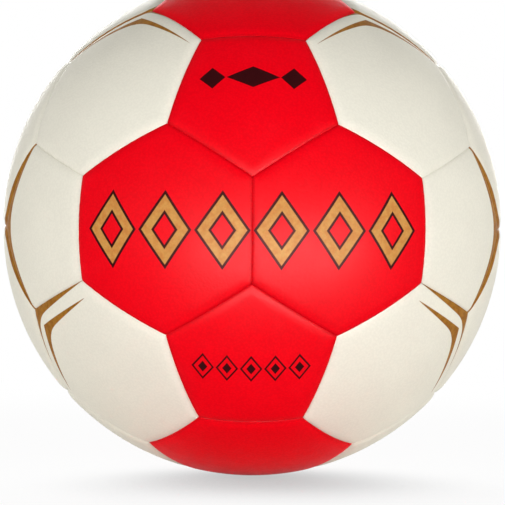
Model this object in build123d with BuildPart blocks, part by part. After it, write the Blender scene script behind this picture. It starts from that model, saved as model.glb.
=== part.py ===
from build123d import *
import itertools
import math
import os

# Handball: twelve five-sided and twenty six-sided panels, sewn edge to edge around a rubber bladder.
# Lengths are in millimetres. The origin is the ball's centre, +X is right, -Y is the front and +Z is up.

# Ball
ball_circumference = 590.0

# Panels: a cover with its edges turned in, and a foam pad and a woven lining glued inside it
cover_thickness = 1.6
inside_bend_radius = 0.8
seam_gap = 0.2
foam_thickness = 2.0
lining_thickness = 1.2
glue_film = 0.1
pad_clearance = 0.3

# Waxed thread along each seam: two rows of thread, tied through both turned-in edges by the stitches
thread_radius = 0.45
stitch_radius = 0.40
stitch_hole_clearance = 0.1
thread_slack = 0.05
stitch_end_margin = 4.7
stitches_per_seam = 8

# Bladder
bladder_clearance = 0.2
bladder_wall = 0.9

# Valve: a rubber housing bonded into the bladder, and a core that pulls out of it
valve_recess = 0.6
neck_radius = 3.2
neck_clearance = 0.1
flange_radius = 14.0
flange_thickness = 1.2
barrel_radius = 4.2
barrel_floor_thickness = 1.5
air_hole_radius = 1.0
core_radius = 2.25
core_clearance = 0.05
core_length = 15.0
core_recess = 0.1
core_end_gap = 0.3
head_radius = 2.8
head_thickness = 0.9
head_clearance = 0.1
head_seat_gap = 0.05
needle_port_radius = 1.35
needle_port_depth = 8.0

# How far a cutting shape runs past the piece that it cuts
cut_overrun = 2.0

# Sizes that follow
ball_radius = ball_circumference / (2 * math.pi)
shell_depth = cover_thickness + glue_film + foam_thickness + glue_film + lining_thickness
carcass_radius = ball_radius - shell_depth
seam_round = inside_bend_radius + cover_thickness
foam_radius = ball_radius - cover_thickness - glue_film
lining_radius = foam_radius - foam_thickness - glue_film
stitch_line_radius = ball_radius - (seam_round + shell_depth) / 2
stitch_hole_radius = stitch_radius + stitch_hole_clearance
thread_offset = seam_gap / 2 + cover_thickness + thread_slack + thread_radius
pad_inset = thread_offset + thread_radius + pad_clearance
bladder_radius = carcass_radius - bladder_clearance
valve_hole_radius = neck_radius + neck_clearance

# Directions of the panels' axes from the ball's centre, by name
golden = (1 + math.sqrt(5)) / 2
depths = {"front": -1, "back": 1}
flanks = {"left": -1, "right": 1}
heights = {"lower": -1, "upper": 1}
ends = {"bottom": -1, "top": 1}
hexagon_axes = {}
pentagon_axes = {}
for (depth, y), (flank, x) in itertools.product(depths.items(), flanks.items()):
    hexagon_axes[f"hexagon_panel_{depth}_{flank}"] = Vector(x / golden, y * golden, 0).normalized()
    pentagon_axes[f"pentagon_panel_{flank}_{depth}"] = Vector(x * golden, y, 0).normalized()
    for height, z in heights.items():
        hexagon_axes[f"hexagon_panel_{depth}_{flank}_{height}"] = Vector(x, y, z).normalized()
for (depth, y), (end, z) in itertools.product(depths.items(), ends.items()):
    hexagon_axes[f"hexagon_panel_{end}_{depth}"] = Vector(0, y / golden, z * golden).normalized()
for (depth, y), (height, z) in itertools.product(depths.items(), heights.items()):
    pentagon_axes[f"pentagon_panel_{depth}_{height}"] = Vector(0, y * golden, z).normalized()
for (flank, x), (height, z) in itertools.product(flanks.items(), heights.items()):
    hexagon_axes[f"hexagon_panel_{flank}_{height}"] = Vector(x * golden, 0, z / golden).normalized()
for (flank, x), (end, z) in itertools.product(flanks.items(), ends.items()):
    pentagon_axes[f"pentagon_panel_{end}_{flank}"] = Vector(x, 0, z * golden).normalized()
valve_panel = "hexagon_panel_back_right_upper"

# Angles at the ball's centre, in radians: a seam's chord is the edge of a truncated icosahedron
edge_share = 4 / math.sqrt(58 + 18 * math.sqrt(5))
seam_half_angle = math.asin(edge_share / 2)
stitch_half_angle = seam_half_angle - stitch_end_margin / stitch_line_radius
stitch_angles = [
    stitch_half_angle * (2 * number / (stitches_per_seam - 1) - 1) for number in range(stitches_per_seam)
]

# Turns a sphere's poles away from the panel's axis, so that no pole lies on a panel
sphere_turn = (90, 0, 0)
centre = (0, 0, 0)


def side_angle(sides):
    """Angle from a panel's axis to the middle of its side."""
    corner_angle = math.asin(edge_share / (2 * math.sin(math.pi / sides)))
    return math.atan(math.tan(corner_angle) * math.cos(math.pi / sides))


def panel_plane(axis):
    """Plane at the ball's centre along a panel's axis, with X towards a six-sided neighbour."""
    others = [other for other in hexagon_axes.values() if other != axis]
    neighbour = min(others, key=lambda other: round(axis.get_angle(other), 3))
    return Plane(centre, x_dir=axis.cross(neighbour).cross(axis), z_dir=axis)


def seam_plane(axis, sides, neighbour):
    """Plane at the ball's centre along a seam's middle, with X along the seam and Y across it."""
    along = axis.cross(neighbour).normalized()
    middle = axis.rotate(Axis(centre, along), math.degrees(side_angle(sides)))
    return Plane(centre, x_dir=along, z_dir=middle)


def stitch_plane(across, along, middle, angle):
    """Plane on the stitch line, at an angle along the seam, that looks across the seam."""
    point = (middle * math.cos(angle) + along * math.sin(angle)) * stitch_line_radius
    return Plane(point, x_dir=point.cross(across), z_dir=across)


def panel_sides(sides):
    """Directions across, along and to the middle of each side of a panel that lies across the Z axis."""
    tilt = side_angle(sides)
    up = Vector(0, 0, 1)
    directions = []
    for number in range(sides):
        out = Vector(1, 0, 0).rotate(Axis.Z, number * 360 / sides)
        across = out * math.cos(tilt) - up * math.sin(tilt)
        middle = out * math.sin(tilt) + up * math.cos(tilt)
        directions.append((across, up.cross(out), middle))
    return directions


def panel_blank(sides, outer_radius, inset, edge_round=0):
    """Solid wedge of the ball inside a panel's seams, under a domed face with rounded edges."""
    with BuildPart() as blank:
        Sphere(outer_radius, rotation=sphere_turn)
        for across, _, _ in panel_sides(sides):
            split(bisect_by=Plane(across * -inset, z_dir=across), keep=Keep.BOTTOM)
        if edge_round:
            fillet(blank.faces().filter_by(GeomType.SPHERE).edges(), edge_round)
    return blank.part


def panel_cover(sides):
    """Cover of one panel, with its edges turned in and pierced for the stitches."""
    outside = panel_blank(sides, ball_radius, seam_gap / 2, seam_round)
    inside_radius = ball_radius - cover_thickness
    inside = panel_blank(sides, inside_radius, seam_gap / 2 + cover_thickness, inside_bend_radius)
    stitches = itertools.product(panel_sides(sides), stitch_angles)
    stitch_holes = [stitch_plane(*directions, angle) for directions, angle in stitches]
    with BuildPart() as cover:
        add(outside)
        add(inside, mode=Mode.SUBTRACT)
        Sphere(carcass_radius, rotation=sphere_turn, mode=Mode.SUBTRACT)
        with Locations(*stitch_holes):
            Cylinder(
                stitch_hole_radius,
                thread_offset,
                align=(Align.CENTER, Align.CENTER, Align.MAX),
                mode=Mode.SUBTRACT,
            )
    return cover.part


def panel_pad(sides, outer_radius, thickness):
    """Layer that lies inside a panel's cover, clear of the thread."""
    blank = panel_blank(sides, outer_radius, pad_inset)
    with BuildPart() as pad:
        add(blank)
        Sphere(outer_radius - thickness, rotation=sphere_turn, mode=Mode.SUBTRACT)
    return pad.part


def with_valve_hole(piece):
    """Copy of a panel's piece with the valve's hole through its middle."""
    with BuildPart() as pierced:
        add(piece)
        with BuildSketch():
            Circle(valve_hole_radius)
        extrude(amount=ball_radius + cut_overrun, mode=Mode.SUBTRACT)
    return pierced.part


def write_node(part, name):
    """Label a finished piece and write it as its own node."""
    part.label = name
    export_step(part, f"parts/{name}.step")


os.makedirs("parts", exist_ok=True)
hexagon_planes = {name: panel_plane(axis) for name, axis in hexagon_axes.items()}
pentagon_planes = {name: panel_plane(axis) for name, axis in pentagon_axes.items()}
valve_axis = hexagon_axes[valve_panel]
valve_plane = hexagon_planes[valve_panel]
valve_line = Axis(centre, valve_axis)
valve_section = Plane(centre, x_dir=valve_plane.x_dir, z_dir=valve_plane.x_dir.cross(valve_axis))

# Covers, one node each
hexagon_cover = panel_cover(6)
pentagon_cover = panel_cover(5)
valve_cover = with_valve_hole(hexagon_cover)
for name, plane in (hexagon_planes | pentagon_planes).items():
    cover = pentagon_cover if name in pentagon_planes else hexagon_cover
    if name == valve_panel:
        cover = valve_cover
    with BuildPart() as panel:
        with Locations(plane):
            add(cover)
    write_node(panel.part, name)

# Foam pads and linings, grouped by the panel's shape
plain_hexagon_planes = [plane for name, plane in hexagon_planes.items() if name != valve_panel]
layers = {"foam_pads": (foam_radius, foam_thickness), "linings": (lining_radius, lining_thickness)}
for layer, (outer_radius, thickness) in layers.items():
    hexagon_pad = panel_pad(6, outer_radius, thickness)
    pentagon_pad = panel_pad(5, outer_radius, thickness)
    valve_pad = with_valve_hole(hexagon_pad)
    with BuildPart() as hexagon_pads:
        with Locations(*plain_hexagon_planes):
            add(hexagon_pad)
        with Locations(valve_plane):
            add(valve_pad)
    write_node(hexagon_pads.part, f"hexagon_{layer}")
    with BuildPart() as pentagon_pads:
        with Locations(*pentagon_planes.values()):
            add(pentagon_pad)
    write_node(pentagon_pads.part, f"pentagon_{layer}")

# Thread of one seam, along the X axis above the ball's centre
along, across, up = Vector(1, 0, 0), Vector(0, 1, 0), Vector(0, 0, 1)
first_stitch = stitch_plane(across, along, up, stitch_angles[0])
with BuildPart() as seam_thread:
    with BuildSketch(Plane(centre, x_dir=across, z_dir=across.cross(first_stitch.origin))):
        with Locations((-thread_offset, stitch_line_radius), (thread_offset, stitch_line_radius)):
            Rectangle(2 * thread_radius, 2 * thread_radius)
    revolve(axis=Axis.Y, revolution_arc=math.degrees(2 * stitch_half_angle))
    for angle in stitch_angles:
        with BuildSketch(stitch_plane(across, along, up, angle)):
            RegularPolygon(stitch_radius, 6)
        extrude(amount=thread_offset, both=True)

# Seams between two six-sided panels, then seams around the five-sided panels
hexagon_pairs = itertools.combinations(hexagon_axes.values(), 2)
pentagon_pairs = itertools.product(pentagon_axes.values(), hexagon_axes.values())
for name, sides, pairs in (("hexagon", 6, hexagon_pairs), ("pentagon", 5, pentagon_pairs)):
    reach = math.degrees(side_angle(sides) + side_angle(6))
    seams = [
        seam_plane(axis, sides, neighbour)
        for axis, neighbour in pairs
        if math.isclose(axis.get_angle(neighbour), reach, abs_tol=1)
    ]
    with BuildPart() as stitching:
        with Locations(*seams):
            add(seam_thread.part)
    write_node(stitching.part, f"{name}_seam_stitching")

# Bladder
with BuildPart() as bladder:
    with BuildSketch(valve_section):
        Circle(bladder_radius)
        Circle(bladder_radius - bladder_wall, mode=Mode.SUBTRACT)
        Rectangle(
            bladder_radius, 2 * bladder_radius, align=(Align.MIN, Align.CENTER), mode=Mode.INTERSECT
        )
        Rectangle(
            valve_hole_radius, bladder_radius, align=(Align.MIN, Align.MIN), mode=Mode.SUBTRACT
        )
    revolve(axis=valve_line)
write_node(bladder.part, "bladder")

# Valve housing: a neck through the shell, a flange under the bladder's wall and a barrel with a pierced floor
neck_top = ball_radius - valve_recess
flange_top = bladder_radius - bladder_wall - glue_film
flange_middle = flange_top - flange_thickness / 2
bore_depth = core_recess + core_length + core_end_gap
barrel_bottom = neck_top - bore_depth - barrel_floor_thickness
from_axis_up = (Align.MIN, Align.MIN)
from_axis_down = (Align.MIN, Align.MAX)
with BuildPart() as valve_housing:
    with BuildSketch(valve_section):
        Circle(flange_top)
        Circle(flange_top - flange_thickness, mode=Mode.SUBTRACT)
        Rectangle(flange_radius, flange_top, align=from_axis_up, mode=Mode.INTERSECT)
        with Locations((0, flange_middle)):
            Rectangle(neck_radius, neck_top - flange_middle, align=from_axis_up)
            Rectangle(barrel_radius, flange_middle - barrel_bottom, align=from_axis_down)
        with Locations((0, neck_top)):
            Rectangle(
                head_radius + head_clearance,
                core_recess + head_thickness + head_seat_gap,
                align=from_axis_down,
                mode=Mode.SUBTRACT,
            )
            Rectangle(
                core_radius + core_clearance, bore_depth, align=from_axis_down, mode=Mode.SUBTRACT
            )
            Rectangle(
                air_hole_radius, neck_top - barrel_bottom, align=from_axis_down, mode=Mode.SUBTRACT
            )
    revolve(axis=valve_line)
write_node(valve_housing.part, "valve_housing")

# Valve core: a headed plug with a blind port for the pump's needle
with BuildPart() as valve_core:
    with BuildSketch(valve_section):
        with Locations((0, neck_top - core_recess)):
            Rectangle(head_radius, head_thickness, align=from_axis_down)
            Rectangle(core_radius, core_length, align=from_axis_down)
            Rectangle(
                needle_port_radius, needle_port_depth, align=from_axis_down, mode=Mode.SUBTRACT
            )
    revolve(axis=valve_line)
write_node(valve_core.part, "valve_core")
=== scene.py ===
"""Looks of the handball: its sewn covers, the layers and the valve under them, the light and the camera."""

import itertools
import math

import bmesh
import bpy
from mathutils import Matrix, Vector


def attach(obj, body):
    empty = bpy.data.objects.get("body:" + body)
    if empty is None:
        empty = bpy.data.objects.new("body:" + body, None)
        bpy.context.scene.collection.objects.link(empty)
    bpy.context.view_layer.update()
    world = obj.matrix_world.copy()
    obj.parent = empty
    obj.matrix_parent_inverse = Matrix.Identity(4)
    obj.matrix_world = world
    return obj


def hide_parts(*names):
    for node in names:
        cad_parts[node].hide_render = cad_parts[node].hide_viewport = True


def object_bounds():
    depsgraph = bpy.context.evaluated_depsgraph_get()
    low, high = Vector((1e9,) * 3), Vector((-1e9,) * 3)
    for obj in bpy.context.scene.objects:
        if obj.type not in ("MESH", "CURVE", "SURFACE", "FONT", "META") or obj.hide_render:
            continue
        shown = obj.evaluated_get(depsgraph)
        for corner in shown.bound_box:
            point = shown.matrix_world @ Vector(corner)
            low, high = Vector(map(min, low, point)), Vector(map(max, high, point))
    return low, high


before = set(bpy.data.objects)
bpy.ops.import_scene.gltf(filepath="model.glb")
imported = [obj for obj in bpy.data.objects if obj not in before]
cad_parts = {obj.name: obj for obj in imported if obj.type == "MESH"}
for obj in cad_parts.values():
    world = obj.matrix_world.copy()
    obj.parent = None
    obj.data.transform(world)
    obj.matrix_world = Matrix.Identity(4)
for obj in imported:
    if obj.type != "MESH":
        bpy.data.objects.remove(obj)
cad_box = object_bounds()

# Sizes in metres, with the layers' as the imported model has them
MM = 0.001
BALL_RADIUS = 590 * MM / (2 * math.pi)
COVER_THICKNESS = 1.6 * MM
SHELL_DEPTH = 5.0 * MM
FOAM_RADIUS = BALL_RADIUS - 1.7 * MM
FOAM_THICKNESS = 2.0 * MM
LINING_RADIUS = BALL_RADIUS - 3.8 * MM
LINING_THICKNESS = 1.2 * MM
PAD_INSET = 2.95 * MM
VALVE_HOLE_RADIUS = 3.3 * MM

# How a cover rolls over into its seams, and how the seams and their stitches draw it in. Sewn edges press
# together, so they end a hair past the seam. A panel's corners are sharper with a higher power.
SEAM_INSET = -0.015 * MM
ROLL_WIDTH = 0.9 * MM
ROLL_DEPTH = 0.22 * MM
ROLL_STEPS = 5
DRAW_IN = 0.70 * MM
DRAW_IN_WIDTH = 4.2 * MM
PUCKER = 0.05 * MM
PUCKER_WIDTH = 4.0 * MM
STITCH_PITCH = 4.1 * MM
CORNER_POWER = 250
VALVE_ROLL = 0.6 * MM

# How finely a cover and a hidden layer are divided from the middle to the seams, and how much finer near them
COVER_CUTS = 23
LAYER_CUTS = 7
EDGE_CROWDING = 1.5

# A layer that is still flat: its hole's share of its size, and the heights of its face and its back
HOLE_SHARE = 0.5
FACE_LEVEL = 2.0
BACK_LEVEL = 1.0

# Edges that turn by more than this stay sharp
SHARP_ANGLE = math.radians(35)

# The panels' axes from the ball's centre, which are those of a truncated icosahedron, with those round one
# corner of the ball by name
GOLDEN = (1 + math.sqrt(5)) / 2
CORNER_AXIS = (1, 1, 1)
SIDE_AXIS = (GOLDEN, 1, 0)
FLANK_AXIS = (GOLDEN, 0, 1 / GOLDEN)
LOWER_FLANK_AXIS = (GOLDEN, 0, -1 / GOLDEN)
TOP_AXIS = (0, 1 / GOLDEN, GOLDEN)
CROWN_AXIS = (1, 0, GOLDEN)
PRINT_AXIS = (0, GOLDEN, 1)
EDGE_SHARE = 4 / math.sqrt(58 + 18 * math.sqrt(5))
DEPTHS = {"front": -1, "back": 1}
FLANKS = {"left": -1, "right": 1}
HEIGHTS = {"lower": -1, "upper": 1}
ENDS = {"bottom": -1, "top": 1}
HEXAGON = 6
PENTAGON = 5
SIDES = {"hexagon": HEXAGON, "pentagon": PENTAGON}
VALVE_PANEL = "hexagon_panel_back_right_upper"

# Colours, linear
RED = (0.81, 0.0004, 0.007, 1)
RED_CLOUD = (0.82, 0.002, 0.010, 1)
WHITE = (0.82, 0.79, 0.68, 1)
WHITE_CLOUD = (0.7954, 0.7663, 0.6596, 1)
GOLD = (0.59, 0.29, 0.072, 1)
GOLD_WARM = (0.55, 0.22, 0.05, 1)
TRIM_GOLD = (0.357, 0.155, 0.019, 1)
TRIM_GOLD_WARM = (0.273, 0.104, 0.011, 1)
INK = (0.030, 0.002, 0.003, 1)
FOAM_PALE = (0.82, 0.80, 0.72, 1)
FOAM_DEEP = (0.62, 0.59, 0.50, 1)
CLOTH_PALE = (0.72, 0.68, 0.58, 1)
CLOTH_DEEP = (0.50, 0.46, 0.37, 1)
THREAD_PALE = (0.80, 0.77, 0.68, 1)
THREAD_DEEP = (0.58, 0.54, 0.45, 1)
BLADDER_BLACK = (0.10, 0.09, 0.09, 1)
BLADDER_BLOOM = (0.15, 0.14, 0.135, 1)
VALVE_BLACK = (0.045, 0.045, 0.045, 1)
VALVE_BLOOM = (0.075, 0.074, 0.072, 1)


class Finish:
    """One material, with short ways to add and join its nodes."""

    def __init__(self, name):
        self.material = bpy.data.materials.new(name)
        self.material.use_nodes = True
        self.tree = self.material.node_tree
        self.shader = self.tree.nodes["Principled BSDF"]
        self.place = self.node("ShaderNodeTexCoord").outputs["Object"]

    def node(self, kind, **settings):
        made = self.tree.nodes.new(kind)
        for name, value in settings.items():
            setattr(made, name, value)
        return made

    def join(self, value, socket):
        """Links a node's output to a socket, or sets the socket to a plain value."""
        if isinstance(value, bpy.types.NodeSocket):
            self.tree.links.new(value, socket)
        else:
            socket.default_value = value

    def math(self, operation, *values):
        made = self.node("ShaderNodeMath", operation=operation)
        for value, socket in zip(values, made.inputs):
            self.join(value, socket)
        return made.outputs[0]

    def along(self, vector, direction):
        """How far a point lies along a direction."""
        made = self.node("ShaderNodeVectorMath", operation="DOT_PRODUCT")
        self.join(vector, made.inputs[0])
        self.join(tuple(direction), made.inputs[1])
        return made.outputs["Value"]

    def folded(self):
        """The point's place with every coordinate made positive, so opposite panels get one pattern."""
        made = self.node("ShaderNodeVectorMath", operation="ABSOLUTE")
        self.join(self.place, made.inputs[0])
        return made.outputs[0]

    def split(self, vector):
        made = self.node("ShaderNodeSeparateXYZ")
        self.join(vector, made.inputs[0])
        return made.outputs

    def scaled(self, vector, share):
        made = self.node("ShaderNodeVectorMath", operation="SCALE")
        self.join(vector, made.inputs[0])
        self.join(share, made.inputs["Scale"])
        return made.outputs[0]

    def ramp(self, value, low, high, from_share=0.0, to_share=1.0):
        """A smooth step between two shares, as the value goes from low to high."""
        made = self.node("ShaderNodeMapRange", interpolation_type="SMOOTHSTEP")
        for number, given in enumerate((value, low, high, from_share, to_share)):
            self.join(given, made.inputs[number])
        return made.outputs[0]

    def mix(self, share, under, over):
        made = self.node("ShaderNodeMix", data_type="RGBA")
        self.join(share, made.inputs[0])
        self.join(under, made.inputs[6])
        self.join(over, made.inputs[7])
        return made.outputs[2]

    def noise(self, scale, detail=2.0, roughness=0.5):
        made = self.node("ShaderNodeTexNoise")
        self.join(self.place, made.inputs["Vector"])
        self.join(scale, made.inputs["Scale"])
        self.join(detail, made.inputs["Detail"])
        self.join(roughness, made.inputs["Roughness"])
        return made.outputs["Fac"]

    def cells(self, scale, smoothness=0.6):
        """Distance from the middles of scattered cells, for pebbled grain."""
        made = self.node("ShaderNodeTexVoronoi", feature="SMOOTH_F1")
        self.join(self.place, made.inputs["Vector"])
        self.join(scale, made.inputs["Scale"])
        self.join(smoothness, made.inputs["Smoothness"])
        return made.outputs["Distance"]

    def waves(self, scale, direction, distortion=0.0):
        """Evenly spaced ridges across a direction."""
        made = self.node("ShaderNodeTexWave", bands_direction=direction)
        self.join(self.place, made.inputs["Vector"])
        self.join(scale, made.inputs["Scale"])
        self.join(distortion, made.inputs["Distortion"])
        return made.outputs["Fac"]

    def attribute(self, name):
        return self.node("ShaderNodeAttribute", attribute_name=name).outputs["Fac"]

    def bump(self, height, distance, strength=1.0, under=None):
        made = self.node("ShaderNodeBump")
        self.join(strength, made.inputs["Strength"])
        self.join(distance, made.inputs["Distance"])
        self.join(height, made.inputs["Height"])
        if under is not None:
            self.join(under, made.inputs["Normal"])
        return made.outputs[0]

    def surface(self, **sockets):
        """Sets or links the shader's own sockets, with spaces in their names written as underscores."""
        for name, value in sockets.items():
            self.join(value, self.shader.inputs[name.replace("_", " ")])
        return self.material


# Most of a noise lies in this span
NOISE_SPAN = (0.3, 0.7)

# Leather of the covers: pebbled grain, fine creases, an uneven tone and painted shade darkening the seams. A
# span is the part of a pattern that goes from one shade or roughness to the other.
GRAIN_PER_METRE = 1150
GRAIN_DEPTH = 0.05 * MM
GRAIN_STRENGTH = 0.8
GRAIN_SPAN = (0.15, 0.75)
CREASE_PER_METRE = 240
CREASE_DEPTH = 0.07 * MM
CREASE_STRENGTH = 0.5
CREASE_SPAN = (0.25, 0.75)
TONE_PER_METRE = 28
TONE_RANGE = (0.975, 1.015)
# Painted shade in the seams: darkest up to the first distance from the seam, gone by the second
GROOVE_FROM = 0.05 * MM
GROOVE_TO = 1.5 * MM
CLOUDS_PER_METRE = 55
CLOUD_SPAN = (0.48, 0.80)
LEATHER_ROUGHNESS = (0.38, 0.48)
LEATHER_SPECULAR = 0.022
PRINT_EDGE = 0.12 * MM
GOLD_PER_METRE = 420
GOLD_SPAN = (0.35, 0.65)

# How dark the painted shade in each colour's seams makes it, and how light and dark its grain
RED_SHADES = (0.77, (1.02, 0.94))
WHITE_SHADES = (0.97, (1.01, 0.97))


def leather(name, shades, colour_of):
    """Leather whose colour and print colour_of gives."""
    painted_groove_shade, grain_shade = shades
    finish = Finish(name)
    grain = finish.cells(GRAIN_PER_METRE)
    crease = finish.noise(CREASE_PER_METRE, detail=5.0, roughness=0.6)
    tone = finish.ramp(finish.noise(TONE_PER_METRE, detail=3.0), *NOISE_SPAN, *TONE_RANGE)
    grain_tone = finish.ramp(grain, *GRAIN_SPAN, *grain_shade)
    # Painted shade: the colour darkens towards the seams, where the grooves lie in shade
    seam = finish.ramp(finish.attribute("seam_distance"), GROOVE_FROM, GROOVE_TO, painted_groove_shade, 1.0)
    shade = finish.math("MULTIPLY", finish.math("MULTIPLY", tone, grain_tone), seam)
    pebbles = finish.math("SUBTRACT", 1.0, grain)
    creased = finish.bump(crease, CREASE_DEPTH, CREASE_STRENGTH)
    return finish.surface(
        Base_Color=finish.scaled(colour_of(finish), shade),
        Roughness=finish.ramp(crease, *CREASE_SPAN, *LEATHER_ROUGHNESS),
        Normal=finish.bump(pebbles, GRAIN_DEPTH, GRAIN_STRENGTH, creased),
        Specular_IOR_Level=LEATHER_SPECULAR,
    )


def plain_white(finish):
    """White with no print, a little uneven."""
    return finish.mix(finish.noise(CLOUDS_PER_METRE, detail=4.0), WHITE, WHITE_CLOUD)


def clouded_red(finish):
    """Red with no print, in places a little paler."""
    cloud = finish.ramp(finish.noise(CLOUDS_PER_METRE, detail=6.0, roughness=0.6), *CLOUD_SPAN)
    return finish.mix(cloud, RED, RED_CLOUD)


def gilded(finish, share, under, gold, warm):
    """Gold print, a little mottled with a warmer gold, over another colour."""
    mottle = finish.ramp(finish.noise(GOLD_PER_METRE, detail=4.0), *GOLD_SPAN)
    return finish.mix(share, under, finish.mix(mottle, gold, warm))


def side_angle(sides):
    """Angle from a panel's axis to the middle of its side."""
    corner_angle = math.asin(EDGE_SHARE / (2 * math.sin(math.pi / sides)))
    return math.atan(math.tan(corner_angle) * math.cos(math.pi / sides))


def towards(axis, other, sides):
    """Direction across the seam between two panels, pointing into the first one."""
    tilt = side_angle(sides)
    axis = Vector(axis).normalized()
    out = Vector(other) - axis * axis.dot(Vector(other))
    return axis * math.sin(tilt) - out.normalized() * math.cos(tilt)


# Corner stripes on the white covers: how far one starts from its two seams, its width at the corner, then for
# the leg along each seam its reach, how much nearer to the seam it ends, and the power of its taper. The bend
# is rounded over a number of widths, and the last share of a leg fades out.
LOWER_STRIPES = (
    (-0.5 * MM, 4.6 * MM, (32 * MM, 0.0, 0.7), (33 * MM, 0.0, 0.7)),
    (7.5 * MM, 4.4 * MM, (33 * MM, 1.3 * MM, 0.8), (32 * MM, 1.3 * MM, 0.8)),
)
UPPER_STRIPES = (
    (-0.5 * MM, 2.6 * MM, (15 * MM, 0.0, 1.2), (42 * MM, 0.0, 0.2)),
    (6.9 * MM, 4.2 * MM, (33 * MM, 2.0 * MM, 1.0), (34 * MM, 4.6 * MM, 1.0)),
)
SIDE_STRIPES = ((-0.5 * MM, 7.6 * MM, (37 * MM, 0.0, 0.48), (37 * MM, 0.0, 0.48)),)
FLANK_STRIPES = ((-0.5 * MM, 4.2 * MM, (32 * MM, 0.0, 0.6), (8 * MM, 0.0, 1.0)),)
CROWN_STRIPES = ((-0.5 * MM, 2.1 * MM, (42 * MM, 0.0, 0.3), (6 * MM, 0.0, 1.0)),)
STRIPE_BEND_SHARE = 2.0
STRIPE_END = 0.03


def corner_stripe(finish, one, two, start, width, first_leg, second_leg):
    """A stripe along two seams, rounded inside its bend, that tapers to nothing along each of them."""
    left = 1.0
    share = 1.0
    outer = start
    for along, (reach, drift, taper_power) in ((two, first_leg), (one, second_leg)):
        to_end = finish.math("SUBTRACT", 1.0, finish.math("DIVIDE", along, reach))
        to_end = finish.math("MAXIMUM", to_end, 0.0)
        left = finish.math("MINIMUM", to_end, left)
        share = finish.math("MINIMUM", finish.math("POWER", to_end, taper_power), share)
        outer = finish.math("MULTIPLY_ADD", along, -drift / reach, outer)
    inner = finish.math("MULTIPLY_ADD", share, width, outer)
    near = finish.math("MINIMUM", one, two)
    bent = finish.math("SMOOTH_MIN", one, two, STRIPE_BEND_SHARE * width)
    past_outer = finish.ramp(finish.math("SUBTRACT", near, outer), -PRINT_EDGE, PRINT_EDGE)
    before_inner = finish.ramp(finish.math("SUBTRACT", inner, bent), -PRINT_EDGE, PRINT_EDGE)
    taper = finish.ramp(left, 0.0, STRIPE_END)
    return finish.math("MULTIPLY", finish.math("MULTIPLY", past_outer, before_inner), taper)


def striped(axis, first, second, sides, stripes):
    """A white cover with gold stripes round the corner between its sides towards two other panels."""
    def colour_of(finish):
        place = finish.folded()
        one = finish.along(place, towards(axis, first, sides))
        two = finish.along(place, towards(axis, second, sides))
        shares = [corner_stripe(finish, one, two, *stripe) for stripe in stripes]
        gold = shares[0]
        for share in shares[1:]:
            gold = finish.math("MAXIMUM", gold, share)
        return gilded(finish, gold, WHITE, TRIM_GOLD, TRIM_GOLD_WARM)
    return colour_of


# Printed lozenges: pitch, half width and half height, then how far each line is from the edge. An upper spot
# has its distance from the middle and its half width.
BAND_PITCH = 21 * MM
BAND_HALF = (10 * MM, 14 * MM)
BAND_COUNT = 3
BAND_LINES = (0.95 * MM, 4.1 * MM, 5.0 * MM)
UPPER_SPOTS = ((0.0, 9.5 * MM), (14.5 * MM, 4.6 * MM))
UPPER_HALF_HEIGHT = 4.6 * MM
UPPER_RISE = 6.0 * MM
LOWER_PITCH = 8.6 * MM
LOWER_HALF = (4.0 * MM, 5.6 * MM)
LOWER_COUNT = 5
LOWER_LINE = 0.65 * MM
LOWER_DOT = 1.9 * MM


def lozenge(finish, across, up, half_width, half_height):
    """Depth inside a lozenge's edge, for distances from its middle."""
    reach = half_width * half_height / math.hypot(half_width, half_height)
    sideways = finish.math("DIVIDE", across, half_width)
    upwards = finish.math("DIVIDE", up, half_height)
    inside = finish.math("SUBTRACT", 1.0, finish.math("ADD", sideways, upwards))
    return finish.math("MULTIPLY", inside, reach)


def step_in(finish, depth, line):
    """1 where the depth is past a line."""
    return finish.ramp(depth, line - PRINT_EDGE, line + PRINT_EDGE)


def band(finish):
    """Red with a row of outlined gold lozenges round the ball's middle."""
    x, y, z = finish.split(finish.folded())
    round_ball = finish.math("MULTIPLY", finish.math("ARCTAN2", x, y), BALL_RADIUS)
    in_cell = finish.math("SUBTRACT", finish.math("MODULO", round_ball, BAND_PITCH), BAND_PITCH / 2)
    depth = lozenge(finish, finish.math("ABSOLUTE", in_cell), z, *BAND_HALF)
    # Past the row's end the depth is that of a point far outside
    shown = finish.math("LESS_THAN", round_ball, BAND_PITCH * BAND_COUNT)
    depth = finish.math("MULTIPLY_ADD", shown, 1.0, finish.math("SUBTRACT", depth, 1.0))
    edge, rim, core = (step_in(finish, depth, line) for line in BAND_LINES)
    red = clouded_red(finish)
    colour = finish.mix(step_in(finish, depth, 0.0), red, INK)
    colour = gilded(finish, edge, colour, GOLD, GOLD_WARM)
    colour = finish.mix(rim, colour, INK)
    return finish.mix(core, colour, red)


def on_pentagon(finish):
    """Distances across and up from the middle of a front or back pentagon."""
    place = finish.folded()
    axis = Vector(PRINT_AXIS).normalized()
    up = Vector((0, 0, 1)) - axis * axis.z
    return finish.split(place)[0], finish.along(place, up.normalized())


def upper_print(finish):
    """Red with one long dark lozenge between two short ones."""
    across, up = on_pentagon(finish)
    up = finish.math("ABSOLUTE", finish.math("SUBTRACT", up, UPPER_RISE))
    ink = 0.0
    for middle, half_width in UPPER_SPOTS:
        offset = finish.math("ABSOLUTE", finish.math("SUBTRACT", across, middle))
        spot = step_in(finish, lozenge(finish, offset, up, half_width, UPPER_HALF_HEIGHT), 0.0)
        ink = finish.math("MAXIMUM", ink, spot)
    return finish.mix(ink, clouded_red(finish), INK)


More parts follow.
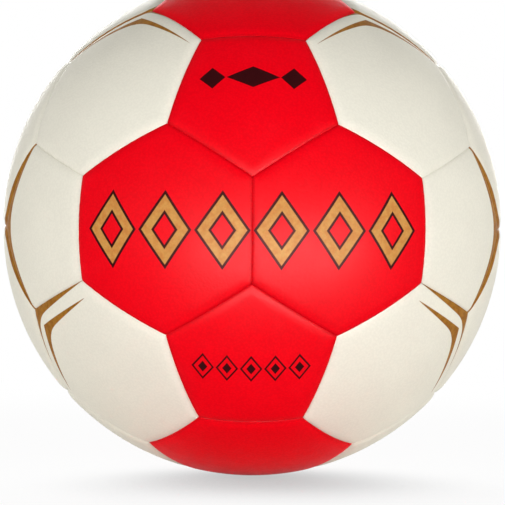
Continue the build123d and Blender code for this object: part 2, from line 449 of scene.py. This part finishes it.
def lower_print(finish):
    """Red with a row of small outlined lozenges, each with a dot."""
    across, up = on_pentagon(finish)
    shifted = finish.math("ADD", across, LOWER_PITCH / 2)
    in_cell = finish.math("SUBTRACT", finish.math("MODULO", shifted, LOWER_PITCH), LOWER_PITCH / 2)
    depth = lozenge(finish, finish.math("ABSOLUTE", in_cell), finish.math("ABSOLUTE", up), *LOWER_HALF)
    line = finish.math("SUBTRACT", step_in(finish, depth, 0.0), step_in(finish, depth, LOWER_LINE))
    ink = finish.math("ADD", line, step_in(finish, depth, LOWER_DOT))
    shown = finish.math("LESS_THAN", across, LOWER_PITCH * LOWER_COUNT / 2)
    return finish.mix(finish.math("MULTIPLY", ink, shown), clouded_red(finish), INK)


red_plain = leather("red_leather", RED_SHADES, clouded_red)
red_band = leather("red_leather_band", RED_SHADES, band)
red_upper = leather("red_leather_upper_print", RED_SHADES, upper_print)
red_lower = leather("red_leather_lower_print", RED_SHADES, lower_print)
white_plain = leather("white_leather", WHITE_SHADES, plain_white)
white_lower = leather(
    "white_leather_lower_stripes",
    WHITE_SHADES,
    striped(CORNER_AXIS, SIDE_AXIS, FLANK_AXIS, HEXAGON, LOWER_STRIPES),
)
white_upper = leather(
    "white_leather_upper_stripes",
    WHITE_SHADES,
    striped(CORNER_AXIS, TOP_AXIS, CROWN_AXIS, HEXAGON, UPPER_STRIPES),
)
white_side = leather(
    "white_leather_side_stripes",
    WHITE_SHADES,
    striped(SIDE_AXIS, FLANK_AXIS, LOWER_FLANK_AXIS, PENTAGON, SIDE_STRIPES),
)
white_flank = leather(
    "white_leather_flank_stripes",
    WHITE_SHADES,
    striped(FLANK_AXIS, SIDE_AXIS, LOWER_FLANK_AXIS, HEXAGON, FLANK_STRIPES),
)
white_crown = leather(
    "white_leather_crown_stripes",
    WHITE_SHADES,
    striped(CROWN_AXIS, CORNER_AXIS, TOP_AXIS, PENTAGON, CROWN_STRIPES),
)


# Finishes under the covers
FOAM_CELLS_PER_METRE = 1400
FOAM_CELL_DEPTH = 0.15 * MM
FOAM_CELL_SPAN = (0.1, 0.8)
FOAM_ROUGHNESS = (0.85, 0.98)
YARNS_PER_METRE = 320
YARN_DEPTH = 0.2 * MM
YARN_SPAN = (0.02, 0.4)
CLOTH_ROUGHNESS = (0.85, 0.97)
TWISTS_PER_METRE = 500
TWIST_DEPTH = 0.12 * MM
TWIST_SPAN = (0.1, 0.7)
THREAD_ROUGHNESS = (0.5, 0.7)
BLOOM_PER_METRE = 160
BLOOM_SPAN = (0.35, 0.75)
RUBBER_PER_METRE = 1920
RUBBER_DEPTH = 0.04 * MM
RUBBER_ROUGHNESS = (0.45, 0.62)


def foam():
    """Closed-cell foam."""
    finish = Finish("foam")
    cells = finish.cells(FOAM_CELLS_PER_METRE)
    return finish.surface(
        Base_Color=finish.mix(finish.ramp(cells, *FOAM_CELL_SPAN), FOAM_PALE, FOAM_DEEP),
        Roughness=finish.ramp(cells, *FOAM_CELL_SPAN, *FOAM_ROUGHNESS),
        Normal=finish.bump(cells, FOAM_CELL_DEPTH, strength=0.7),
        Specular_IOR_Level=0.2,
    )


def cloth():
    """Plain woven cloth."""
    finish = Finish("lining_cloth")
    ways = [finish.waves(YARNS_PER_METRE, way, distortion=0.6) for way in ("X", "Y", "Z")]
    weave = finish.math("MULTIPLY", finish.math("MULTIPLY", *ways[:2]), ways[2])
    yarn = finish.ramp(weave, *YARN_SPAN)
    return finish.surface(
        Base_Color=finish.mix(yarn, CLOTH_DEEP, CLOTH_PALE),
        Roughness=finish.ramp(finish.noise(YARNS_PER_METRE), *NOISE_SPAN, *CLOTH_ROUGHNESS),
        Normal=finish.bump(yarn, YARN_DEPTH, strength=0.6),
        Specular_IOR_Level=0.15,
    )


def waxed_thread():
    """Twisted thread with a coat of wax."""
    finish = Finish("waxed_thread")
    twist = finish.waves(TWISTS_PER_METRE, "DIAGONAL", distortion=1.0)
    return finish.surface(
        Base_Color=finish.mix(finish.ramp(twist, *TWIST_SPAN), THREAD_DEEP, THREAD_PALE),
        Roughness=finish.ramp(finish.noise(TWISTS_PER_METRE), *NOISE_SPAN, *THREAD_ROUGHNESS),
        Normal=finish.bump(twist, TWIST_DEPTH, strength=0.7),
        Specular_IOR_Level=0.3,
    )


def rubber(name, black, bloom):
    """Moulded rubber with a pale, uneven bloom."""
    finish = Finish(name)
    cloud = finish.noise(BLOOM_PER_METRE, detail=6.0, roughness=0.6)
    grain = finish.noise(RUBBER_PER_METRE, detail=3.0)
    return finish.surface(
        Base_Color=finish.mix(finish.ramp(cloud, *BLOOM_SPAN), black, bloom),
        Roughness=finish.ramp(cloud, *NOISE_SPAN, *RUBBER_ROUGHNESS),
        Normal=finish.bump(grain, RUBBER_DEPTH, strength=0.5),
        Specular_IOR_Level=0.4,
    )


foam_finish = foam()
cloth_finish = cloth()
valve_finish = rubber("valve_rubber", VALVE_BLACK, VALVE_BLOOM)
cad_finishes = {
    "bladder": rubber("bladder_rubber", BLADDER_BLACK, BLADDER_BLOOM),
    "hexagon_seam_stitching": waxed_thread(),
}
cad_finishes["pentagon_seam_stitching"] = cad_finishes["hexagon_seam_stitching"]
for node, finish in cad_finishes.items():
    for material_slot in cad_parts[node].material_slots:
        material_slot.material = finish


# Panels: name, axis and finish
panels = {}
for (depth, y), (flank, x) in itertools.product(DEPTHS.items(), FLANKS.items()):
    panels[f"hexagon_panel_{depth}_{flank}"] = ((x / GOLDEN, y * GOLDEN, 0), red_band)
    panels[f"pentagon_panel_{flank}_{depth}"] = ((x * GOLDEN, y, 0), white_side)
    for height, z in HEIGHTS.items():
        corner_finish = white_upper if height == "upper" else white_lower
        panels[f"hexagon_panel_{depth}_{flank}_{height}"] = ((x, y, z), corner_finish)
for (depth, y), (end, z) in itertools.product(DEPTHS.items(), ENDS.items()):
    panels[f"hexagon_panel_{end}_{depth}"] = ((0, y / GOLDEN, z * GOLDEN), red_plain)
for (depth, y), (height, z) in itertools.product(DEPTHS.items(), HEIGHTS.items()):
    print_finish = red_upper if height == "upper" else red_lower
    panels[f"pentagon_panel_{depth}_{height}"] = ((0, y * GOLDEN, z), print_finish)
for (flank, x), (height, z) in itertools.product(FLANKS.items(), HEIGHTS.items()):
    panels[f"hexagon_panel_{flank}_{height}"] = ((x * GOLDEN, 0, z / GOLDEN), white_flank)
for (flank, x), (end, z) in itertools.product(FLANKS.items(), ENDS.items()):
    end_finish = white_crown if end == "top" else white_plain
    panels[f"pentagon_panel_{end}_{flank}"] = ((x, 0, z * GOLDEN), end_finish)


def panel_turn(name):
    """Turn from across the Z axis to a panel's place, with its X towards a six-sided neighbour."""
    axis = Vector(panels[name][0]).normalized()
    hexagons = [other for other in panels if other.startswith("hexagon") and other != name]
    others = [Vector(panels[other][0]) for other in hexagons]
    neighbour = min(others, key=lambda other: round(axis.angle(other), 3))
    out = (neighbour - axis * axis.dot(neighbour)).normalized()
    return Matrix((out, axis.cross(out), axis)).transposed().to_4x4()


def seam_turn(azimuth, inset, radius, sides):
    """Angle from a panel's axis to the line at an inset from its seams, with rounded corners."""
    tilt = side_angle(sides)
    total = 0
    for number in range(sides):
        reach = math.cos(tilt) * math.cos(azimuth - 2 * math.pi * number / sides)
        if reach > 0:
            span = math.hypot(reach, math.sin(tilt))
            turn = math.atan2(math.sin(tilt), reach) - math.asin(inset / (radius * span))
            total += turn ** -CORNER_POWER
    return total ** (-1 / CORNER_POWER)


def drawn_in(azimuth, turn, distance, sides):
    """How far the seams and their stitches draw a layer in, at a distance from its seam."""
    step = 2 * math.pi / sides
    to_side = azimuth - step * round(azimuth / step)
    along = BALL_RADIUS * math.asin(math.sin(turn) * math.sin(to_side))
    stitch = math.sin(math.pi * along / STITCH_PITCH) ** 2
    broad = max(0, 1 - distance / DRAW_IN_WIDTH) ** 2
    close = max(0, 1 - distance / PUCKER_WIDTH) ** 2
    return DRAW_IN * broad + PUCKER * stitch * close


def on_ball(azimuth, turn, radius):
    flat = radius * math.sin(turn)
    return Vector((flat * math.cos(azimuth), flat * math.sin(azimuth), radius * math.cos(turn)))


def azimuth_of(point):
    return math.atan2(point.co.y, point.co.x)


class PanelLayer:
    """One layer of a panel, made across the Z axis: a face and a back, flat until they are domed."""

    def __init__(self, sides, cuts, hole_radius):
        self.sides = sides
        self.hole_share = HOLE_SHARE if hole_radius else 0.0
        self.bm = bmesh.new()
        self.seam_distance = self.bm.verts.layers.float.new("seam_distance")
        self.add_flat(FACE_LEVEL)
        self.add_flat(BACK_LEVEL)
        bmesh.ops.subdivide_edges(self.bm, edges=self.bm.edges[:], cuts=cuts, use_grid_fill=True)

    def add_flat(self, level):
        """Adds a flat panel of unit size in a few four-sided faces, round its hole if it has one."""
        corners = 2 * self.sides
        angles = [number * math.pi / self.sides for number in range(corners)]
        outer = [self.bm.verts.new((math.cos(angle), math.sin(angle), level)) for angle in angles]
        if self.hole_share:
            inner = [self.bm.verts.new((*(self.hole_share * corner.co.xy), level)) for corner in outer]
            for n in range(corners):
                self.bm.faces.new((inner[n - 1], outer[n - 1], outer[n], inner[n]))
        else:
            middle = self.bm.verts.new((0, 0, level))
            for n in range(0, corners, 2):
                self.bm.faces.new((middle, outer[n], outer[n + 1], outer[(n + 2) % corners]))

    def settle(self, point, azimuth, turn, radius, distance, drop=0.0):
        """Puts a point on the ball, as far in as the seams draw it there."""
        pull = drawn_in(azimuth, turn, distance, self.sides)
        point.co = on_ball(azimuth, turn, radius - pull - drop)
        point[self.seam_distance] = distance

    def dome(self, level, radius, inset, hole_radius):
        """Domes the face or the back, out to an inset from the seams, and gives its outer and hole rims."""
        points = [point for point in self.bm.verts if point.co.z == level]
        rim = [edge for edge in self.bm.edges if edge.is_boundary and edge.verts[0].co.z == level]
        rim_split = (1 + self.hole_share) / 2
        outer_rim = [edge for edge in rim if edge.verts[0].co.xy.length > rim_split]
        hole_rim = [edge for edge in rim if edge.verts[0].co.xy.length < rim_split]
        hole_turn = math.asin(hole_radius / radius)
        half_step = math.pi / (2 * self.sides)
        for point in points:
            azimuth = azimuth_of(point)
            to_middle = azimuth % (2 * half_step) - half_step
            share = point.co.xy.length * math.cos(to_middle) / math.cos(half_step)
            share = min(1, (share - self.hole_share) / (1 - self.hole_share))
            share = 1 - (1 - share) ** EDGE_CROWDING
            edge_turn = seam_turn(azimuth, inset, radius, self.sides)
            turn = hole_turn + share * (edge_turn - hole_turn)
            self.settle(point, azimuth, turn, radius, inset + radius * (edge_turn - turn))
        return outer_rim, hole_rim

    def pull_rim(self, rim, rows):
        """Extrudes an open rim once for each row, which places the new points, and gives the new rim."""
        for row in rows:
            made = bmesh.ops.extrude_edge_only(self.bm, edges=rim)["geom"]
            rim = [part for part in made if isinstance(part, bmesh.types.BMEdge) and part.is_boundary]
            for point in {point for edge in rim for point in edge.verts}:
                row(point)
        return rim

    def rolled(self, share):
        """Row of an edge that rolls over into its seam."""
        def row(point):
            azimuth = azimuth_of(point)
            distance = SEAM_INSET + ROLL_WIDTH * (1 - math.sin(share * math.pi / 2))
            drop = ROLL_DEPTH * (1 - math.cos(share * math.pi / 2))
            turn = seam_turn(azimuth, distance, BALL_RADIUS, self.sides)
            self.settle(point, azimuth, turn, BALL_RADIUS, distance, drop)
        return row

    def turned_in(self, inset):
        """Row at the end of a turned-in edge."""
        def row(point):
            azimuth = azimuth_of(point)
            low = BALL_RADIUS - SHELL_DEPTH
            point.co = on_ball(azimuth, seam_turn(azimuth, inset, low, self.sides), low)
            point[self.seam_distance] = 0.0
        return row

    def hole_rolled(self, share):
        """Row of the valve hole's edge, which rolls over too."""
        def row(point):
            radius = VALVE_HOLE_RADIUS + VALVE_ROLL * (1 - math.sin(share * math.pi / 2))
            drop = VALVE_ROLL * (1 - math.cos(share * math.pi / 2))
            point.co = on_ball(azimuth_of(point), math.asin(radius / BALL_RADIUS), BALL_RADIUS - drop)
        return row

    def close(self, *rims):
        bmesh.ops.bridge_loops(self.bm, edges=[edge for rim in rims for edge in rim])

    def finished(self):
        bmesh.ops.recalc_face_normals(self.bm, faces=self.bm.faces)
        shade_smooth(self.bm)
        return self.bm


def shade_smooth(bm):
    """Smooth faces, with sharp edges kept sharp."""
    for face in bm.faces:
        face.smooth = True
    for edge in bm.edges:
        edge.smooth = edge.calc_face_angle(0) < SHARP_ANGLE


ROLL_SHARES = [(number + 1) / ROLL_STEPS for number in range(ROLL_STEPS)]


def cover(sides, hole_radius=0.0):
    """A closed cover: its face rolls over at the seams and turns in, and its back follows."""
    layer = PanelLayer(sides, COVER_CUTS, hole_radius)
    back_inset = SEAM_INSET + COVER_THICKNESS
    mouth = hole_radius + VALVE_ROLL if hole_radius else 0.0
    face, face_hole = layer.dome(FACE_LEVEL, BALL_RADIUS, SEAM_INSET + ROLL_WIDTH, mouth)
    back, back_hole = layer.dome(BACK_LEVEL, BALL_RADIUS - COVER_THICKNESS, back_inset, hole_radius)
    rolls = [layer.rolled(share) for share in ROLL_SHARES]
    face = layer.pull_rim(face, rolls + [layer.turned_in(SEAM_INSET)])
    back = layer.pull_rim(back, [layer.turned_in(back_inset)])
    layer.close(face, back)
    if hole_radius:
        face_hole = layer.pull_rim(face_hole, [layer.hole_rolled(share) for share in ROLL_SHARES])
        layer.close(face_hole, back_hole)
    return layer.finished()


def pad(sides, radius, thickness, hole_radius=0.0):
    """A die-cut layer under a cover: two domed faces, closed round the edge."""
    layer = PanelLayer(sides, LAYER_CUTS, hole_radius)
    face, face_hole = layer.dome(FACE_LEVEL, radius, PAD_INSET, hole_radius)
    back, back_hole = layer.dome(BACK_LEVEL, radius - thickness, PAD_INSET, hole_radius)
    layer.close(face, back)
    if hole_radius:
        layer.close(face_hole, back_hole)
    return layer.finished()


def add_piece(name, bm, material, body, slot_name, *nodes):
    """Makes a piece of a mesh, which rides on a body and stands for CAD nodes."""
    mesh = bpy.data.meshes.new(name)
    bm.to_mesh(mesh)
    bm.free()
    mesh.materials.append(material)
    piece = bpy.data.objects.new(name, mesh)
    bpy.context.scene.collection.objects.link(piece)
    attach(piece, body)
    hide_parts(*nodes)
    return piece


# Covers
patterns = {shape: cover(sides) for shape, sides in SIDES.items()}
patterns["valve"] = cover(HEXAGON, VALVE_HOLE_RADIUS)
for name, (axis, finish) in panels.items():
    shape = "valve" if name == VALVE_PANEL else name.split("_")[0]
    bm = patterns[shape].copy()
    bmesh.ops.transform(bm, matrix=panel_turn(name), verts=bm.verts)
    slot_name = "red_cover" if finish.name.startswith("red") else "white_cover"
    add_piece(name.replace("panel", "cover"), bm, finish, "ball", slot_name, name)


def layer_set(shape, radius, thickness):
    """The pads or linings of all panels of a shape, in one mesh."""
    layers = bmesh.new()
    spare = bpy.data.meshes.new("spare")
    for name in panels:
        if name.startswith(shape):
            hole_radius = VALVE_HOLE_RADIUS if name == VALVE_PANEL else 0.0
            bm = pad(SIDES[shape], radius, thickness, hole_radius)
            bmesh.ops.transform(bm, matrix=panel_turn(name), verts=bm.verts)
            bm.to_mesh(spare)
            bm.free()
            layers.from_mesh(spare)
    bpy.data.meshes.remove(spare)
    return layers


for shape in SIDES:
    pads = layer_set(shape, FOAM_RADIUS, FOAM_THICKNESS)
    piece = add_piece(f"{shape}_pads", pads, foam_finish, "ball", "foam", f"{shape}_foam_pads")
    linings = layer_set(shape, LINING_RADIUS, LINING_THICKNESS)
    piece = add_piece(f"{shape}_lining_cloths", linings, cloth_finish, "ball", "lining", f"{shape}_linings")


# Valve, in radii and heights along its axis
NECK_TOP = BALL_RADIUS - 0.6 * MM
NECK_RADIUS = 3.2 * MM
FLANGE_TOP = BALL_RADIUS - 6.2 * MM
FLANGE_THICKNESS = 1.2 * MM
FLANGE_RADIUS = 14 * MM
FLANGE_STEPS = 8
BARREL_RADIUS = 4.2 * MM
BORE_RADIUS = 2.3 * MM
BORE_FLOOR = NECK_TOP - 15.4 * MM
BARREL_BOTTOM = BORE_FLOOR - 1.5 * MM
AIR_HOLE_RADIUS = 1.0 * MM
HEAD_SEAT_RADIUS = 2.9 * MM
HEAD_SEAT = NECK_TOP - 1.05 * MM
CORE_TOP = NECK_TOP - 0.1 * MM
CORE_BOTTOM = CORE_TOP - 15 * MM
CORE_RADIUS = 2.25 * MM
HEAD_RADIUS = 2.8 * MM
HEAD_THICKNESS = 0.9 * MM
PORT_RADIUS = 1.35 * MM
PORT_DEPTH = 8 * MM
HOUSING_ROUND = 0.1 * MM
CORE_ROUND = 0.25 * MM
ROUND_SEGMENTS = 4
SPIN_STEPS = 48
MERGE_DISTANCE = 0.001 * MM


def dome_arc(radius, first, last):
    """Points of a dome's section, from one distance from the axis to another."""
    spots = [first + (last - first) * number / FLANGE_STEPS for number in range(FLANGE_STEPS + 1)]
    return [(spot, math.sqrt(radius ** 2 - spot ** 2)) for spot in spots]


def spun(section, closed, rounding):
    """A piece spun round the valve's axis from its half section, with its edges rounded."""
    bm = bmesh.new()
    points = [bm.verts.new((radius, 0, height)) for radius, height in section]
    ends = points[1:] + points[:1] if closed else points[1:]
    edges = [bm.edges.new(pair) for pair in zip(points, ends)]
    bmesh.ops.spin(
        bm, geom=points + edges, axis=(0, 0, 1), angle=2 * math.pi, steps=SPIN_STEPS, use_merge=True
    )
    bmesh.ops.remove_doubles(bm, verts=bm.verts, dist=MERGE_DISTANCE)
    bmesh.ops.recalc_face_normals(bm, faces=bm.faces)
    sharp = [edge for edge in bm.edges if edge.calc_face_angle(0) > SHARP_ANGLE]
    bmesh.ops.bevel(
        bm, geom=sharp, offset=rounding, affect="EDGES", segments=ROUND_SEGMENTS, profile=0.5, material=-1,
        clamp_overlap=True,
    )
    shade_smooth(bm)
    bmesh.ops.transform(bm, matrix=panel_turn(VALVE_PANEL), verts=bm.verts)
    return bm


housing_section = (
    [(NECK_RADIUS, NECK_TOP)]
    + dome_arc(FLANGE_TOP, NECK_RADIUS, FLANGE_RADIUS)
    + dome_arc(FLANGE_TOP - FLANGE_THICKNESS, FLANGE_RADIUS, BARREL_RADIUS)
    + [
        (BARREL_RADIUS, BARREL_BOTTOM),
        (AIR_HOLE_RADIUS, BARREL_BOTTOM),
        (AIR_HOLE_RADIUS, BORE_FLOOR),
        (BORE_RADIUS, BORE_FLOOR),
        (BORE_RADIUS, HEAD_SEAT),
        (HEAD_SEAT_RADIUS, HEAD_SEAT),
        (HEAD_SEAT_RADIUS, NECK_TOP),
    ]
)
core_section = [
    (0, CORE_TOP - PORT_DEPTH),
    (PORT_RADIUS, CORE_TOP - PORT_DEPTH),
    (PORT_RADIUS, CORE_TOP),
    (HEAD_RADIUS, CORE_TOP),
    (HEAD_RADIUS, CORE_TOP - HEAD_THICKNESS),
    (CORE_RADIUS, CORE_TOP - HEAD_THICKNESS),
    (CORE_RADIUS, CORE_BOTTOM),
    (0, CORE_BOTTOM),
]
housing = spun(housing_section, True, HOUSING_ROUND)
add_piece("valve_sleeve", housing, valve_finish, "ball", "valve_rubber", "valve_housing")
core = spun(core_section, False, CORE_ROUND)
add_piece("valve_plug", core, valve_finish, "core", "valve_rubber", "valve_core")


# Light: a key from the front and left, a low strip in front, low lamps on the sides, a broad one behind, and
# a white surrounding that is dimmer overhead. A bright card low in front shows only in reflections, as the
# leather's sheen. Each light has a place, a width, a height and a power.
LIGHTS = {
    "key_light": ((-0.6, -2.2, 0.35), 0.8, 0.8, 8),
    "low_light": ((0.1, -1.7, 0.0), 1.2, 0.16, 4.6),
    "left_light": ((-1.7, -1.5, 0.06), 1.2, 0.5, 22.5),
    "right_light": ((1.7, -1.5, 0.06), 1.2, 0.5, 30.5),
    "back_light": ((0, 2.4, 0.35), 1.6, 1.6, 60),
    "sheen_light": ((0.05, -0.30, -0.048), 0.40, 0.082, 8),
}
REFLECTED_ONLY = ("sheen_light",)
WORLD_LEVEL = 0.50
WORLD_OVERHEAD = 0.05


def add_light(name, place, width, height, power):
    lamp = bpy.data.lights.new(name, "AREA")
    lamp.shape = "RECTANGLE"
    lamp.size = width
    lamp.size_y = height
    lamp.energy = power
    light = bpy.data.objects.new(name, lamp)
    light.location = place
    light.rotation_euler = (-Vector(place)).to_track_quat("-Z", "Y").to_euler()
    if name in REFLECTED_ONLY:
        light.visible_camera = False
        light.visible_diffuse = False
    bpy.context.scene.collection.objects.link(light)


for name, light in LIGHTS.items():
    add_light(name, *light)


def white_to_camera(tree):
    """Share of the rays that see the backdrop itself: those from the camera, a mirror or through glass."""
    path = tree.nodes.new("ShaderNodeLightPath")
    seen = path.outputs["Is Camera Ray"]
    for ray in ("Is Glossy Ray", "Is Transmission Ray"):
        both = tree.nodes.new("ShaderNodeMath")
        both.operation = "MAXIMUM"
        tree.links.new(seen, both.inputs[0])
        tree.links.new(path.outputs[ray], both.inputs[1])
        seen = both.outputs[0]
    return seen


def set_world():
    world = bpy.data.worlds.new("studio")
    world.use_nodes = True
    bpy.context.scene.world = world
    tree = world.node_tree
    background = tree.nodes["Background"]
    background.inputs["Color"].default_value = (1, 1, 1, 1)
    way = tree.nodes.new("ShaderNodeTexCoord")
    height = tree.nodes.new("ShaderNodeSeparateXYZ")
    tree.links.new(way.outputs["Generated"], height.inputs[0])
    level = tree.nodes.new("ShaderNodeMapRange")
    tree.links.new(height.outputs["Z"], level.inputs["Value"])
    level.inputs["To Min"].default_value = WORLD_LEVEL
    level.inputs["To Max"].default_value = WORLD_OVERHEAD
    strength = tree.nodes.new("ShaderNodeMapRange")
    tree.links.new(white_to_camera(tree), strength.inputs["Value"])
    tree.links.new(level.outputs[0], strength.inputs["To Min"])
    strength.inputs["To Max"].default_value = 1.0
    tree.links.new(strength.outputs[0], background.inputs["Strength"])


set_world()

# Floor: white to the camera, with a soft shade round the ball's foot that leans forward
FLOOR_SIZE = 6.0
FLOOR_WHITE = (0.95, 0.95, 0.95, 1)
FLOOR_ROUGHNESS = 0.9
FLOOR_WHITE_SHARE = 0.95
FLOOR_SHADE = 0.42
FLOOR_SHADE_REACH = 0.2
FLOOR_SHADE_LEAN = (-0.12, 0.79, 0.60)
FLOOR_SHADE_RANGE = (0.0, 0.70)
FLOOR_SHADE_SAMPLES = 16
FLOOR_FADE = (0.20, 0.60)


def add_floor():
    bm = bmesh.new()
    bmesh.ops.create_grid(bm, x_segments=1, y_segments=1, size=FLOOR_SIZE / 2)
    bmesh.ops.translate(bm, vec=(0, 0, cad_box[0].z), verts=bm.verts)
    mesh = bpy.data.meshes.new("floor")
    bm.to_mesh(mesh)
    bm.free()
    floor = bpy.data.objects.new("floor", mesh)
    bpy.context.scene.collection.objects.link(floor)
    finish = Finish("floor_white")
    finish.surface(Base_Color=FLOOR_WHITE, Roughness=FLOOR_ROUGHNESS, Specular_IOR_Level=0.0)
    shade = finish.node("ShaderNodeAmbientOcclusion", samples=FLOOR_SHADE_SAMPLES)
    finish.join(FLOOR_SHADE_REACH, shade.inputs["Distance"])
    lean = finish.node("ShaderNodeCombineXYZ")
    for number, part in enumerate(FLOOR_SHADE_LEAN):
        finish.join(part, lean.inputs[number])
    finish.join(lean.outputs[0], shade.inputs["Normal"])
    away = finish.node("ShaderNodeVectorMath", operation="LENGTH")
    finish.join(finish.place, away.inputs[0])
    far = finish.ramp(away.outputs["Value"], *FLOOR_FADE)
    level = finish.ramp(shade.outputs["AO"], *FLOOR_SHADE_RANGE, FLOOR_SHADE, 1.0)
    white = finish.node("ShaderNodeEmission")
    finish.join(finish.math("MAXIMUM", level, far), white.inputs["Strength"])
    share = finish.ramp(far, 0.0, 1.0, FLOOR_WHITE_SHARE, 1.0)
    both = finish.node("ShaderNodeMixShader")
    finish.join(finish.math("MULTIPLY", white_to_camera(finish.tree), share), both.inputs[0])
    finish.join(finish.shader.outputs[0], both.inputs[1])
    finish.join(white.outputs[0], both.inputs[2])
    finish.join(both.outputs[0], finish.tree.nodes["Material Output"].inputs["Surface"])
    mesh.materials.append(finish.material)


add_floor()

# Camera: nearly level, a long way off, and aimed below the ball's middle as in the photograph
CAMERA_DISTANCE = 13.2 * BALL_RADIUS
CAMERA_ELEVATION = math.radians(0.80)
CAMERA_ROLL = math.radians(0.42)
PHOTO_SIZE = 505
FOCAL_PIXELS = 3274
BALL_ABOVE_MIDDLE_PIXELS = 25.8
CLIP_START = 0.01


def add_camera():
    lens = bpy.data.cameras.new("camera")
    lens.angle = 2 * math.atan(PHOTO_SIZE / 2 / FOCAL_PIXELS)
    lens.clip_start = CLIP_START
    camera = bpy.data.objects.new("camera", lens)
    camera.location = (
        0,
        -CAMERA_DISTANCE * math.cos(CAMERA_ELEVATION),
        CAMERA_DISTANCE * math.sin(CAMERA_ELEVATION),
    )
    aim_down = math.atan(BALL_ABOVE_MIDDLE_PIXELS / FOCAL_PIXELS)
    camera.rotation_euler = (math.pi / 2 - CAMERA_ELEVATION - aim_down, -CAMERA_ROLL, 0)
    bpy.context.scene.collection.objects.link(camera)
    bpy.context.scene.camera = camera


add_camera()
bpy.context.scene.view_settings.view_transform = "Standard"
